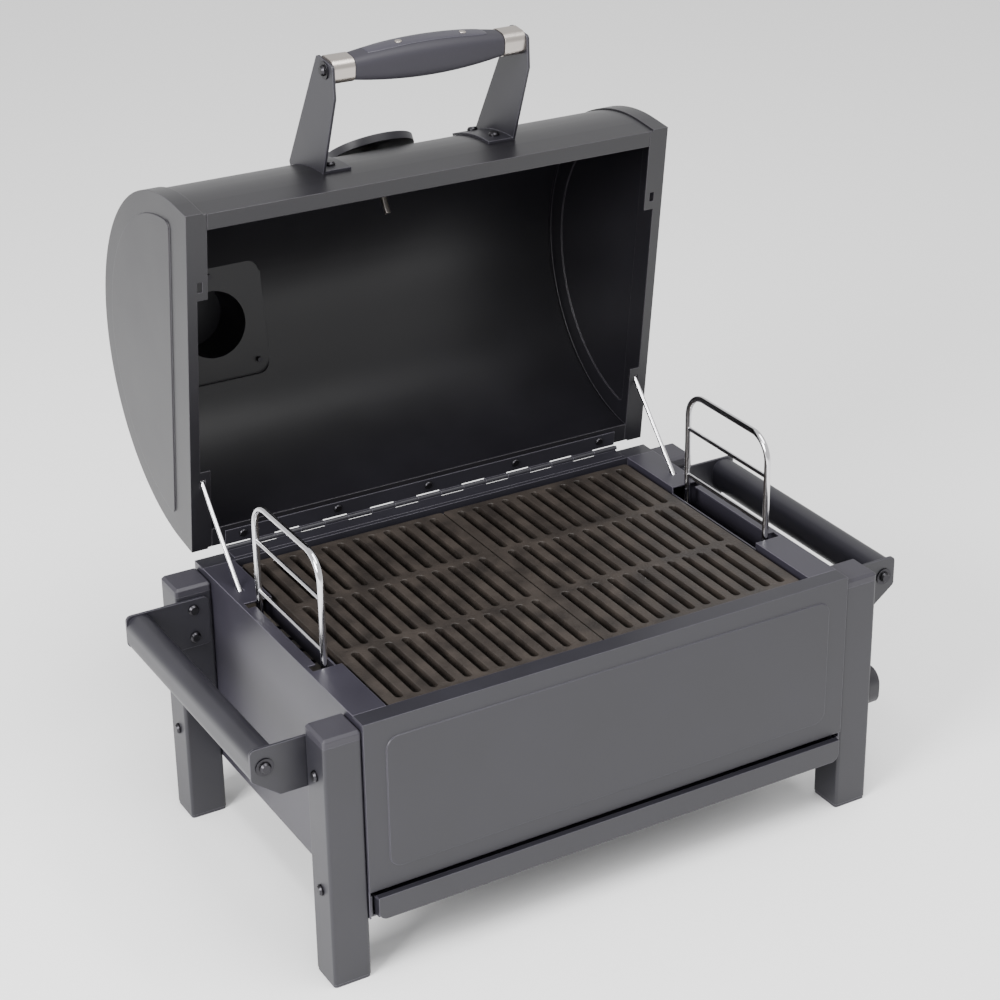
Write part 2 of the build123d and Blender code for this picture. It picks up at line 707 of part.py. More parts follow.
for name, side in (("lid_handle_arm_left", -1), ("lid_handle_arm_right", 1)):
    with BuildPart() as arm:
        with BuildSketch(opened(section(side * arm_half_span))):
            with BuildLine():
                Polyline(
                    on_barrel(foot_inner - 3, arm_low_angle),
                    on_barrel(foot_inner + 1, arm_low_angle),
                    (grip_y + 20.5, grip_z - 19),
                    (grip_y - grip_tip, grip_z - arm_tip / 2 + 1),
                    (grip_y - grip_tip, grip_z + arm_tip / 2 + 1),
                    on_barrel(foot_inner + 4, arm_high_angle),
                    on_barrel(foot_inner - 3, arm_high_angle),
                    close=True,
                )
            make_face()
            fillet(vertices().group_by(Axis.X)[0], 4)
            with Locations((0, lid_centre_z)):
                Circle(foot_inner, mode=Mode.SUBTRACT)
            with Locations((grip_y, grip_z)):
                Circle(hole, mode=Mode.SUBTRACT)
        extrude(amount=-side * arm_sheet)
        # foot turned inward along the barrel
        with BuildSketch(opened(section(side * arm_half_span))):
            with BuildLine():
                middle_angle = (arm_low_angle + arm_high_angle) / 2
                outer = foot_inner + arm_sheet
                low_in, low_out = on_barrel(foot_inner, arm_low_angle), on_barrel(outer, arm_low_angle)
                high_in, high_out = on_barrel(foot_inner, arm_high_angle), on_barrel(outer, arm_high_angle)
                Line(low_in, low_out)
                ThreePointArc(low_out, on_barrel(outer, middle_angle), high_out)
                Line(high_out, high_in)
                ThreePointArc(high_in, on_barrel(foot_inner, middle_angle), low_in)
            make_face()
        extrude(amount=-side * arm_foot_width)
        for x, angle in arm_spots:
            if x * side > 0:
                with BuildSketch(opened(barrel_plane(angle, foot_inner + 8, x))):
                    Circle(hole)
                extrude(amount=-12, mode=Mode.SUBTRACT)
    keep(name, arm.part)

for name, side in (("handle_ferrule_left", -1), ("handle_ferrule_right", 1)):
    with BuildPart() as ferrule:
        with BuildSketch(opened(section(side * ferrule_inner))):
            with Locations((grip_y, grip_z)):
                RectangleRounded(grip_end[0] + 1.5, grip_end[1] + 1, 8)
                Circle(hole, mode=Mode.SUBTRACT)
        extrude(amount=side * ferrule_length)
    keep(name, ferrule.part)

with BuildPart() as lid_handle_grip:
    for x, size in ((-ferrule_inner, grip_end), (0, grip_middle), (ferrule_inner, grip_end)):
        with BuildSketch(opened(section(x))):
            with Locations((grip_y, grip_z)):
                RectangleRounded(size[0], size[1], size[0] * 0.27)
    loft()
    for end in (-1, 1):
        with BuildSketch(opened(section(end * ferrule_inner))):
            with Locations((grip_y, grip_z)):
                Circle(hole)
        extrude(amount=-end * 16, mode=Mode.SUBTRACT)
keep("lid_handle_grip", lid_handle_grip.part)

with BuildPart() as lid_handle_screws:
    for x, angle in arm_spots:
        add_screw(opened(barrel_plane(angle, foot_inner + arm_sheet, x)), arm_sheet + sheet + 4)
    for side in (-1, 1):
        seat = outward(side, arm_half_span, grip_y, grip_z)
        add_screw(opened(seat), arm_sheet + ferrule_length + 12, washer=washer_radius)
keep("lid_handle_screws", lid_handle_screws.part)

# ---------------------------------------------------------------- flue
base_plane = seat_plane.offset(sheet)
end_plane = base_plane.offset(flue_length)
damper_radius = flue_bore / 2 + damper_overlap
hinge_spot = (flue_flange / 2 - 4.2, 0)
with BuildPart() as flue_base_plate:
    with BuildSketch(opened(base_plane)):
        RectangleRounded(flue_base[0], flue_base[1], flue_pad_corner)
        Circle(flue_bore / 2 + flue_wall, mode=Mode.SUBTRACT)
        with Locations(*flue_bolts):
            Circle(hole, mode=Mode.SUBTRACT)
    extrude(amount=flue_flange_sheet)
keep("flue_base", flue_base_plate.part)

with BuildPart() as flue_pipe:
    with BuildSketch(opened(base_plane)):
        Circle(flue_bore / 2 + flue_wall)
        Circle(flue_bore / 2, mode=Mode.SUBTRACT)
    extrude(amount=flue_length)
keep("flue_pipe", flue_pipe.part)

with BuildPart() as flue_rim:
    with BuildSketch(opened(end_plane.offset(-flue_flange_sheet))):
        Circle(flue_flange / 2)
        Circle(flue_bore / 2 + flue_wall, mode=Mode.SUBTRACT)
        with Locations(hinge_spot):
            Circle(hole, mode=Mode.SUBTRACT)
    extrude(amount=flue_flange_sheet)
keep("flue_rim", flue_rim.part)

damper_hub = Plane(
    origin=end_plane.offset(damper_gap).from_local_coords(hinge_spot + (0,)), x_dir=end_plane.x_dir, z_dir=end_plane.z_dir
)
with BuildPart() as flue_damper:
    with BuildSketch(opened(damper_hub)):
        with Locations((-hinge_spot[0], 0)):
            Circle(damper_radius)
        Circle(head_radius + 1.2)
        with Locations((-hinge_spot[0] / 2, 0)):
            Rectangle(hinge_spot[0], 2 * head_radius + 2.4)
        Circle(screw_radius + skin_gap, mode=Mode.SUBTRACT)
    extrude(amount=damper_sheet)
    # lifted finger tab on the far edge
    with BuildSketch(opened(damper_hub)):
        with Locations((-hinge_spot[0] - damper_radius + 1, 0)):
            Rectangle(damper_sheet, 16)
    extrude(amount=14)
keep("flue_damper", flue_damper.part)

with BuildPart() as flue_screws:
    for x, y in flue_bolts:
        spot = base_plane.offset(flue_flange_sheet).from_local_coords((x, y, 0))
        seat = Plane(origin=spot, x_dir=base_plane.x_dir, z_dir=base_plane.z_dir)
        add_screw(opened(seat), flue_flange_sheet + sheet + 4)
    pivot_seat = damper_hub.offset(damper_sheet + damper_gap)
    add_screw(opened(pivot_seat), damper_sheet + 2 * damper_gap + flue_flange_sheet + 3)
keep("flue_screws", flue_screws.part)

# ---------------------------------------------------------------- temperature gauge
case_back = shell_radius + gauge_standoff
case_front = case_back + gauge_depth
lens_seat = case_front - lens_sheet - 0.6
bore = gauge_radius - gauge_rim
with BuildPart() as gauge_case:
    with BuildSketch(opened(barrel_plane(gauge_angle, case_back))):
        Circle(gauge_radius)
    extrude(amount=gauge_depth)
    fillet(gauge_case.edges().filter_by(GeomType.CIRCLE).sort_by(SortBy.RADIUS)[-1], 0.4)
    with BuildSketch(opened(barrel_plane(gauge_angle, case_back + gauge_back))):
        Circle(bore)
    extrude(amount=gauge_depth, mode=Mode.SUBTRACT)
    with BuildSketch(opened(barrel_plane(gauge_angle, lens_seat))):
        Circle(bore + 1.2)
    extrude(amount=gauge_depth, mode=Mode.SUBTRACT)
    with BuildSketch(opened(barrel_plane(gauge_angle, case_back))):
        Circle(gauge_stem + skin_gap)
    extrude(amount=gauge_back, mode=Mode.SUBTRACT)
keep("gauge_case", gauge_case.part)

with BuildPart() as gauge_dial:
    with BuildSketch(opened(barrel_plane(gauge_angle, case_back + gauge_back))):
        Circle(bore - 0.2)
        Circle(gauge_stem + skin_gap, mode=Mode.SUBTRACT)
    extrude(amount=0.6)
keep("gauge_dial", gauge_dial.part)

with BuildPart() as gauge_lens:
    with BuildSketch(opened(barrel_plane(gauge_angle, lens_seat))):
        Circle(bore + 1.1)
    extrude(amount=lens_sheet)
keep("gauge_lens", gauge_lens.part)

stem_top = case_back + gauge_back + 1.4
with BuildPart() as gauge_stem_part:
    with BuildSketch(opened(barrel_plane(gauge_angle, stem_top))):
        Circle(gauge_stem)
    extrude(amount=-gauge_stem_length)
    # collar that spaces the case off the lid, and the nut inside it
    with BuildSketch(opened(barrel_plane(gauge_angle, shell_radius))):
        Circle(8)
    extrude(amount=gauge_standoff)
    with BuildSketch(opened(barrel_plane(gauge_angle, shell_radius - sheet - 0.3))):
        RegularPolygon(9, 6)
    extrude(amount=-4)
    with BuildSketch(opened(barrel_plane(gauge_angle, stem_top))):
        Circle(needle_pin)
    extrude(amount=1.6)
keep("gauge_stem", gauge_stem_part.part)

with BuildPart() as gauge_needle:
    with BuildSketch(opened(barrel_plane(gauge_angle, stem_top + 0.2))):
        Circle(3.2)
        with Locations((0, -bore * 0.36)):
            Trapezoid(2.6, bore * 0.72, 88)
        Circle(needle_pin + pin_clearance, mode=Mode.SUBTRACT)
    extrude(amount=0.8)
keep("gauge_needle", gauge_needle.part)

# ---------------------------------------------------------------- stay rods
for name, side in (("stay_rod_left", -1), ("stay_rod_right", 1)):
    foot_y = pivot_y - stay_length * sin(radians(stay_lean))
    foot_z = pivot_z - stay_length * cos(radians(stay_lean))
    with BuildPart() as rod:
        with BuildLine() as route:
            FilletPolyline(
                (side * stay_x, pivot_y, pivot_z),
                (side * stay_x, foot_y, foot_z),
                (side * (stay_x - stay_foot), foot_y, foot_z),
                radius=stay_bend,
            )
        with BuildSketch(Plane(origin=route.wire() @ 0, z_dir=route.wire() % 0)):
            Circle(stay_radius)
        sweep()
        with BuildSketch(section(side * stay_x - stay_bar / 2)):
            with Locations((pivot_y, pivot_z)):
                Circle(stay_radius)
        extrude(amount=stay_bar)
    keep(name, rod.part)

# ---------------------------------------------------------------- charcoal tray and its loops
loop_low = tray_floor + 10.0
with BuildPart() as charcoal_tray:
    with BuildSketch(Plane.XY.offset(tray_floor)):
        Rectangle(2 * tray_half_width, 2 * tray_half_depth)
    extrude(amount=tray_wall)
    with BuildSketch(Plane.XY.offset(tray_floor + tray_sheet)):
        Rectangle(2 * (tray_half_width - tray_sheet), 2 * (tray_half_depth - tray_sheet))
    extrude(amount=tray_wall, mode=Mode.SUBTRACT)
    across = int(2 * (tray_half_width - 10) / tray_pitch)
    along = int(2 * (tray_half_depth - 10) / tray_pitch)
    with BuildSketch(Plane.XY.offset(tray_floor)):
        with GridLocations(tray_pitch, tray_pitch, across, along):
            Circle(tray_hole / 2)
    extrude(amount=tray_sheet, mode=Mode.SUBTRACT)
    for side in (-1, 1):
        with BuildSketch(outward(side, tray_half_width)):
            with Locations((-loop_half_span, loop_low), (loop_half_span, loop_low)):
                Circle(loop_wire + 2 * skin_gap)
        extrude(amount=-tray_sheet, mode=Mode.SUBTRACT)
keep("charcoal_tray", charcoal_tray.part)

for name, side in (("tray_loop_left", -1), ("tray_loop_right", 1)):
    with BuildPart() as loop:
        inner = side * (tray_half_width - 8)
        with BuildLine() as route:
            FilletPolyline(
                (inner, -loop_half_span, loop_low),
                (side * loop_x, -loop_half_span, loop_low),
                (side * loop_x, -loop_half_span, loop_top - loop_wire),
                (side * loop_x, loop_half_span, loop_top - loop_wire),
                (side * loop_x, loop_half_span, loop_low),
                (inner, loop_half_span, loop_low),
                radius=[4.5, loop_corner, loop_corner, 4.5],
            )
        with BuildSketch(Plane(origin=route.wire() @ 0, z_dir=route.wire() % 0)):
            Circle(loop_wire)
        sweep()
        with BuildSketch(front_on(loop_half_span)):
            with Locations((side * loop_x, loop_mid_bar), (side * loop_x, loop_low_bar)):
                Circle(loop_bar)
        extrude(amount=2 * loop_half_span)
    keep(name, loop.part)

# ---------------------------------------------------------------- grates
slot_pitch = (grate_edge - grate_gap) / (slot_count + 0.8)
slot_length = (2 * grate_half_depth - 2 * end_bar - (slot_rows - 1) * row_bar) / slot_rows
for name, side in (("grate_left", -1), ("grate_right", 1)):
    with BuildPart() as grate:
        middle = side * (grate_gap + grate_edge) / 2
        with BuildSketch(Plane.XY.offset(grate_bottom)):
            with Locations((middle, 0)):
                RectangleRounded(grate_edge - grate_gap, 2 * grate_half_depth, 3)
                with GridLocations(slot_pitch, slot_length + row_bar, slot_count, slot_rows):
                    SlotOverall(slot_length, slot_width, rotation=90, mode=Mode.SUBTRACT)
        extrude(amount=grate_thickness)
    keep(name, grate.part)

# ---------------------------------------------------------------- ash pan
with BuildPart() as ash_pan:
    pan_front = -half_depth - pan_lip_front
    pan_back = half_depth - pan_back_gap
    with BuildSketch(Plane.XY.offset(pan_floor)):
        with Locations((0, (pan_front + sheet + pan_back) / 2)):
            Rectangle(2 * pan_half_width, pan_back - pan_front - sheet)
    extrude(amount=pan_height)
    with BuildSketch(Plane.XY.offset(pan_floor + tray_sheet)):
        with Locations((0, (pan_front + sheet + pan_back) / 2)):
            Rectangle(2 * (pan_half_width - tray_sheet), pan_back - pan_front - sheet - 2 * tray_sheet)
    extrude(amount=pan_height, mode=Mode.SUBTRACT)
    # front plate with rounded lower corners and a folded top edge
    with BuildSketch(front_on(pan_front + sheet)):
        with Locations((0, side_bottom + 1 + pan_lip_height / 2)):
            Rectangle(2 * pan_half_width, pan_lip_height)
        fillet(vertices().group_by(Axis.Y)[0], 8)
    extrude(amount=sheet)
    with BuildSketch(Plane.XY.offset(side_bottom + 1 + pan_lip_height - sheet)):
        with Locations((0, pan_front + 3)):
            Rectangle(2 * pan_half_width, 6)
    extrude(amount=sheet)
keep("ash_pan", ash_pan.part)


def save_all():
    """Moves every piece so that the origin is the bottom centre of the open grill, and writes it."""
    boxes = [piece.bounding_box() for piece in pieces.values()]
    low = min(box.min.Y for box in boxes)
    high = max(box.max.Y for box in boxes)
    shift = Location((0, -(low + high) / 2, 0))
    for name, piece in pieces.items():
        placed = piece.moved(shift)
        placed.label = name
        export_step(placed, f"parts/{name}.step")
    return shift


placement = save_all()
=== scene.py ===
import json

import bpy
import numpy as np
from mathutils import Matrix, Vector


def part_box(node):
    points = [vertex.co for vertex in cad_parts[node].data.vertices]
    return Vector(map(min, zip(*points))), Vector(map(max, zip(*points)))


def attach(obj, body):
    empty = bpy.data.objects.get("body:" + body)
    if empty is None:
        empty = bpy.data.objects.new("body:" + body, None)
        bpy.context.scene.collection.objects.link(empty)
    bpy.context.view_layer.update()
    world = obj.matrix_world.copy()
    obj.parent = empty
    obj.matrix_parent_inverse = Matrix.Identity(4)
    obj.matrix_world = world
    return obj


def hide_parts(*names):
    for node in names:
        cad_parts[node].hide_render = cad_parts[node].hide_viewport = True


# %% [markdown]
# # A tabletop charcoal grill with a barrel lid
# The grill is folded and welded steel sheet under a satin black powder coat, with two cast iron grates,
# bright wires and a soft grip on the lid. The measured solids are loaded first, as the frame that every
# other piece is placed in. A solid of the right shape stays and only gets its finish. A piece whose shape
# needs more than its solid gives is built here as a numpy surface.

# %% Load the frame
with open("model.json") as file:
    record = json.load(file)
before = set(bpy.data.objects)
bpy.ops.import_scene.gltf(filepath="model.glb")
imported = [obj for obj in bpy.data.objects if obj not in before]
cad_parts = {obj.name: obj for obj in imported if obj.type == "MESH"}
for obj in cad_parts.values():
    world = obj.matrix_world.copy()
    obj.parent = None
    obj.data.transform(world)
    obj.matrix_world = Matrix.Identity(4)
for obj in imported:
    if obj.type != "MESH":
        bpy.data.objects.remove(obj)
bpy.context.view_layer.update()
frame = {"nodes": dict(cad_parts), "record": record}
nodes = frame["nodes"]
record = frame["record"]
mm = 0.001

# %% [markdown]
# ## Colours and nodes
# Paint and plastic colours are easiest to read as sRGB hex, which is how a colour chart prints them.
# Shaders work in linear light, so one function turns a hex value to linear.
# A material is a small graph, and one helper adds a node with its settings and its links.

# %% Colour and node helpers


def colour(code, alpha=1.0):
    """Turns an sRGB hex code to linear: c / 12.92 below 0.04045, else ((c + 0.055) / 1.055) to the power 2.4."""
    srgb = np.array([int(code[i:i + 2], 16) for i in (1, 3, 5)]) / 255.0
    linear = np.where(srgb <= 0.04045, srgb / 12.92, ((srgb + 0.055) / 1.055) ** 2.4)
    return (*[float(v) for v in linear], alpha)


def new_material(name):
    """Starts a material and returns it with its node tree and its Principled shader."""
    material = bpy.data.materials.new(name)
    material.use_nodes = True
    tree = material.node_tree
    return material, tree, tree.nodes["Principled BSDF"]


def put(tree, kind, inputs=None, **settings):
    """Adds a node. A value in inputs is set on the socket, and a socket in inputs is linked to it."""
    node = tree.nodes.new(kind)
    for key, value in settings.items():
        setattr(node, key, value)
    for key, value in (inputs or {}).items():
        if isinstance(value, bpy.types.NodeSocket):
            tree.links.new(value, node.inputs[key])
        else:
            node.inputs[key].default_value = value
    return node


def ramp(tree, factor, stops):
    """A colour ramp over factor with (position, linear colour) stops."""
    node = put(tree, "ShaderNodeValToRGB", {"Fac": factor})
    while len(node.color_ramp.elements) < len(stops):
        node.color_ramp.elements.new(0.5)
    for element, (position, value) in zip(node.color_ramp.elements, stops):
        element.position = position
        element.color = value
    return node.outputs["Color"]


print("helpers ready")

# %% [markdown]
# ## Powder coat
# Polyester powder is sprayed dry and baked, so it flows into a satin film with a faint orange peel about
# 1.5 mm across. The film is a dielectric over steel: IOR 1.5, no metallic. Bare folded edges would be a
# fraction of a millimetre round, and a bevel node rounds them in the shading without touching the solids.
# The film also thins and burnishes on those edges, so they are a little lighter.

# %% Powder coat material


def powder_coat(name, base, edge, roughness, peel=0.05, radius=0.9 * mm):
    """Satin powder coat: colour drifts slowly, edges lighten where the rounded normal leaves the flat one."""
    material, tree, shader = new_material(name)
    place = put(tree, "ShaderNodeTexCoord").outputs["Object"]
    # slow drift of the film, about 60 mm across
    drift = put(tree, "ShaderNodeTexNoise", {"Vector": place, "Scale": 16.0, "Detail": 3.0}).outputs["Fac"]
    grit = put(tree, "ShaderNodeTexNoise", {"Vector": place, "Scale": 650.0, "Detail": 2.0}).outputs["Fac"]
    rounded = put(tree, "ShaderNodeBevel", {"Radius": radius}, samples=6).outputs["Normal"]
    flat = put(tree, "ShaderNodeNewGeometry").outputs["Normal"]
    match = put(tree, "ShaderNodeVectorMath", {0: rounded, 1: flat}, operation="DOT_PRODUCT").outputs["Value"]
    worn = put(tree, "ShaderNodeMapRange", {"Value": match, "From Min": 1.0, "From Max": 0.82}).outputs["Result"]
    film = ramp(tree, drift, [(0.3, colour(base)), (0.7, tuple(v * 1.25 for v in colour(base)[:3]) + (1.0,))])
    mix = put(tree, "ShaderNodeMix", data_type="RGBA")
    tree.links.new(worn, mix.inputs["Factor"])
    tree.links.new(film, mix.inputs["A"])
    mix.inputs["B"].default_value = colour(edge)
    tree.links.new(mix.outputs["Result"], shader.inputs["Base Color"])
    rough = put(tree, "ShaderNodeMapRange", {"Value": drift, "To Min": roughness - 0.04, "To Max": roughness + 0.05})
    tree.links.new(rough.outputs["Result"], shader.inputs["Roughness"])
    bump = put(tree, "ShaderNodeBump", {"Height": grit, "Strength": peel, "Distance": 0.2 * mm, "Normal": rounded})
    tree.links.new(bump.outputs["Normal"], shader.inputs["Normal"])
    shader.inputs["IOR"].default_value = 1.5
    return material


satin_black = powder_coat("powder_coated_steel_satin", "#1b1a20", "#514e58", 0.42)
# The shelf coat is the body's black coat made lighter: painted light where the up-facing shelves catch the lamps.
painted_light_shelf_coat = powder_coat("powder_coated_steel_painted_light_shelf", "#26242c", "#68646f", 0.4)
# The lid coat is the body's black coat made darker: painted shade for the dark inside of the open lid.
painted_shade_lid_coat = powder_coat("powder_coated_steel_painted_shade_lid", "#131216", "#47444a", 0.36)
print("powder coats:", satin_black.name, painted_light_shelf_coat.name, painted_shade_lid_coat.name)

# %% [markdown]
# ## Moulded plastic
# The leg caps and the glides are injection-moulded polypropylene with a fine spark-eroded grain.
# It is a dielectric, IOR 1.49, a little rougher than the paint beside it.

# %% Moulded plastic material


def moulded_plastic(name, base, roughness=0.5, grain=900.0, depth=0.08, radius=1.0 * mm):
    """Moulded plastic: one colour with a fine even grain, about a millimetre, and soft edges."""
    material, tree, shader = new_material(name)
    place = put(tree, "ShaderNodeTexCoord").outputs["Object"]
    eroded = put(tree, "ShaderNodeTexNoise", {"Vector": place, "Scale": grain, "Detail": 3.0}).outputs["Fac"]
    rounded = put(tree, "ShaderNodeBevel", {"Radius": radius}, samples=6).outputs["Normal"]
    bump = put(tree, "ShaderNodeBump", {"Height": eroded, "Strength": depth, "Distance": 0.2 * mm, "Normal": rounded})
    tree.links.new(bump.outputs["Normal"], shader.inputs["Normal"])
    tint = ramp(tree, eroded, [(0.35, colour(base)), (0.7, tuple(v * 1.2 for v in colour(base)[:3]) + (1.0,))])
    tree.links.new(tint, shader.inputs["Base Color"])
    shader.inputs["Roughness"].default_value = roughness
    shader.inputs["IOR"].default_value = 1.49
    return material


cap_plastic = moulded_plastic("moulded_polypropylene_black", "#29272e")
grip_soft = moulded_plastic("soft_touch_elastomer_grip", "#211f27", roughness=0.62, grain=1400.0, depth=0.12)
print("plastics:", cap_plastic.name, grip_soft.name)

# %% [markdown]
# ## Seasoned cast iron
# The grates are sand cast, so their skin keeps the sand's grain, about 0.8 mm, and baked oil fills it.
# Seasoned iron is a brown-black film over metal. It reads as a dark dielectric with soft, patchy sheen.

# %% Cast iron material


def cast_iron(name, base, oiled, grain=800.0, depth=0.8, radius=1.6 * mm):
    """Cast iron: sand grain in the bump, oil in slow patches, smoother on the burnished edges."""
    material, tree, shader = new_material(name)
    place = put(tree, "ShaderNodeTexCoord").outputs["Object"]
    patches = put(tree, "ShaderNodeTexNoise", {"Vector": place, "Scale": 38.0, "Detail": 5.0}).outputs["Fac"]
    sand = put(tree, "ShaderNodeTexNoise", {"Vector": place, "Scale": grain, "Detail": 4.0}).outputs["Fac"]
    pits = put(tree, "ShaderNodeTexVoronoi", {"Vector": place, "Scale": grain * 0.45}).outputs["Distance"]
    tint = ramp(tree, patches, [(0.32, colour(base)), (0.68, colour(oiled))])
    tree.links.new(tint, shader.inputs["Base Color"])
    rounded = put(tree, "ShaderNodeBevel", {"Radius": radius}, samples=8).outputs["Normal"]
    skin = put(tree, "ShaderNodeMath", {0: sand, 1: pits}, operation="ADD").outputs["Value"]
    bump = put(tree, "ShaderNodeBump", {"Height": skin, "Strength": depth, "Distance": 0.3 * mm, "Normal": rounded})
    tree.links.new(bump.outputs["Normal"], shader.inputs["Normal"])
    rough = put(tree, "ShaderNodeMapRange", {"Value": patches, "To Min": 0.42, "To Max": 0.66}).outputs["Result"]
    tree.links.new(rough, shader.inputs["Roughness"])
    shader.inputs["Metallic"].default_value = 0.15
    shader.inputs["IOR"].default_value = 1.5
    return material


grate_iron = cast_iron("seasoned_cast_iron", "#211c19", "#352e29")
opener_iron = cast_iron("black_coated_iron_casting", "#1f1e22", "#2c2a2f", depth=0.2)
print("iron:", grate_iron.name, opener_iron.name)

# %% [markdown]
# ## Bright metals
# Chrome plate and the tray's galvanised sheet are true metals, so the base colour is the reflection's colour
# and metallic is 1.
# Brushed stainless keeps fine scratches along one direction. Here they run round the piece, so the
# noise is squeezed across the scratch and stretched along it.

# %% Metal materials


def metal(name, tint, roughness, scratch=(900.0, 900.0, 900.0), depth=0.02, radius=0.4 * mm):
    """Bare or plated metal: scratches come from noise stretched by the three scales, per metre."""
    material, tree, shader = new_material(name)
    place = put(tree, "ShaderNodeTexCoord").outputs["Object"]
    stretched = put(tree, "ShaderNodeMapping", {"Vector": place, "Scale": scratch}).outputs["Vector"]
    lines = put(tree, "ShaderNodeTexNoise", {"Vector": stretched, "Scale": 1.0, "Detail": 3.0}).outputs["Fac"]
    rounded = put(tree, "ShaderNodeBevel", {"Radius": radius}, samples=4).outputs["Normal"]
    bump = put(tree, "ShaderNodeBump", {"Height": lines, "Strength": depth, "Distance": 0.1 * mm, "Normal": rounded})
    tree.links.new(bump.outputs["Normal"], shader.inputs["Normal"])
    rough = put(tree, "ShaderNodeMapRange", {"Value": lines, "To Min": roughness * 0.8, "To Max": roughness * 1.25})
    tree.links.new(rough.outputs["Result"], shader.inputs["Roughness"])
    shader.inputs["Base Color"].default_value = colour(tint)
    shader.inputs["Metallic"].default_value = 1.0
    return material


chrome = metal("bright_chrome_plate", "#d4d3d6", 0.12)
galvanised = metal("galvanised_steel_sheet", "#a9a49f", 0.4, scratch=(120.0, 120.0, 120.0), depth=0.05)
stainless = metal("brushed_stainless_steel", "#b5aea8", 0.3, scratch=(2600.0, 90.0, 90.0), depth=0.25)
dark_screw = metal("black_oxide_steel", "#3a393c", 0.36)
print("metals:", chrome.name, galvanised.name, stainless.name, dark_screw.name)

# %% [markdown]
# ## Gauge finishes
# The dial is a printed disc under a glass lens, with a red needle.

# %% Gauge materials
dial_white = moulded_plastic("printed_dial_card", "#e6e4dd", roughness=0.55, depth=0.01, radius=0.2 * mm)
needle_red = moulded_plastic("red_lacquer_needle", "#b02018", roughness=0.35, depth=0.01, radius=0.1 * mm)
lens_glass, _, lens_shader = new_material("clear_soda_glass")
lens_shader.inputs["Base Color"].default_value = colour("#f4f7f6")
lens_shader.inputs["Transmission Weight"].default_value = 1.0
lens_shader.inputs["Roughness"].default_value = 0.02
lens_shader.inputs["IOR"].default_value = 1.52
print("gauge finishes ready")

# %% [markdown]
# ## Finishes on the solids
# Each solid keeps its mesh. Its material slots take the finish of the real piece.

# %% Give each solid its finish
finishes = {
    "firebox_left": painted_light_shelf_coat, "firebox_right": painted_light_shelf_coat, "firebox": satin_black, "lid_shell": painted_shade_lid_coat,
    "lid_cap": painted_shade_lid_coat, "leg_cap": cap_plastic, "leg_screws": dark_screw, "leg": satin_black,
    "foot_glide": cap_plastic, "grate_ledge": satin_black, "grate": grate_iron, "stay_rod": chrome,
    "tray_loop": chrome, "charcoal_tray": galvanised, "hinge_screws": dark_screw,
    "hinge": satin_black, "handle_ferrule": stainless, "lid_handle_grip": grip_soft, "lid_handle_screws": dark_screw,
    "side_handle_screws": dark_screw, "flue_screws": dark_screw, "gauge_case": satin_black, "gauge_stem": stainless,
    "gauge_dial": dial_white, "gauge_needle": needle_red, "gauge_lens": lens_glass, "bottle_opener": opener_iron,
}
for name, item in nodes.items():
    match = next((finishes[key] for key in finishes if name.startswith(key)), satin_black)
    for index in range(max(1, len(item.material_slots))):
        if index < len(item.material_slots):
            item.material_slots[index].material = match
        else:
            item.data.materials.append(match)
print("finishes given to", len(nodes), "solids")

# %% [markdown]
# ## The grip
# The hand closes round the middle of the grip, so it swells there and necks in under the ferrules.
# Its section is a rounded rectangle, flat enough on top for a separate inlay.
# The solid's box gives the length and the two widths. The open lid leans the grip 7 degrees.

# %% Grip surface
grip_low, grip_high = (Vector(corner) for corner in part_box("lid_handle_grip"))
grip_centre = (grip_low + grip_high) / 2
grip_half = (grip_high - grip_low) / 2


def add_surface(name, points, closed_ends, material):
    """Meshes a grid of rings, points[ring, place, xyz], and closes both ends with a flat fan if asked."""
    rings, around = points.shape[:2]
    corner = np.arange(rings * around).reshape(rings, around)
    after = np.roll(corner, -1, axis=1)
    faces = np.stack([corner[:-1], after[:-1], after[1:], corner[1:]], axis=-1).reshape(-1, 4).tolist()
    if closed_ends:
        faces += [corner[0][::-1].tolist(), corner[-1].tolist()]
    mesh = bpy.data.meshes.new(name)
    mesh.from_pydata(points.reshape(-1, 3).tolist(), [], faces)
    mesh.polygons.foreach_set("use_smooth", np.full(len(faces), True))
    mesh.materials.append(material)
    item = bpy.data.objects.new(name, mesh)
    bpy.context.collection.objects.link(item)
    return item


def superellipse(turn, power):
    """A unit outline whose two coordinates, each to the given power, add up to 1."""
    c, s = np.cos(turn), np.sin(turn)
    radius = (np.abs(c) ** power + np.abs(s) ** power) ** (-1.0 / power)
    return radius * c, radius * s


def grip_halves(along):
    """Half-width and half-thickness grow from the neck as 1 minus the square of the distance along."""
    swell = 1.0 - along ** 2
    halves = ((half_wide, neck_wide), (half_thick, neck_thick))
    return tuple(half * (neck + (1.0 - neck) * swell) for half, neck in halves)


def in_grip(along, across, above):
    """Turns lengths along, across and above the grip's axis to places on the open lid."""
    spots = np.stack(np.broadcast_arrays(along, across, above), axis=-1)
    return np.array(grip_centre) + spots @ grip_axes


section_power = 3.2
neck_wide, neck_thick = 0.714, 0.636  # share of the middle's size that is left at the ends
lean_cos, lean_sin = 0.9925, 0.1219  # of the 7 degree lean
grip_axes = np.array([(1.0, 0.0, 0.0), (0.0, lean_cos, lean_sin), (0.0, -lean_sin, lean_cos)])
half_wide, half_thick = grip_half.y * 0.953, grip_half.z * 0.943  # the leaning box is a little larger
along = np.linspace(-1.0, 1.0, 97)[:, None]
angle = np.linspace(0.0, 2.0 * np.pi, 72, endpoint=False)[None, :]
section_wide, section_thick = superellipse(angle, section_power)
wide, thick = grip_halves(along)
rings = in_grip(along * grip_half.x, wide * section_wide, thick * section_thick)
grip = add_surface("grip_body", rings, True, grip_soft)
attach(grip, "lid")
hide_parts("lid_handle_grip")
print("grip:", len(grip.data.polygons), "faces, half sizes", tuple(round(v, 4) for v in grip_half))

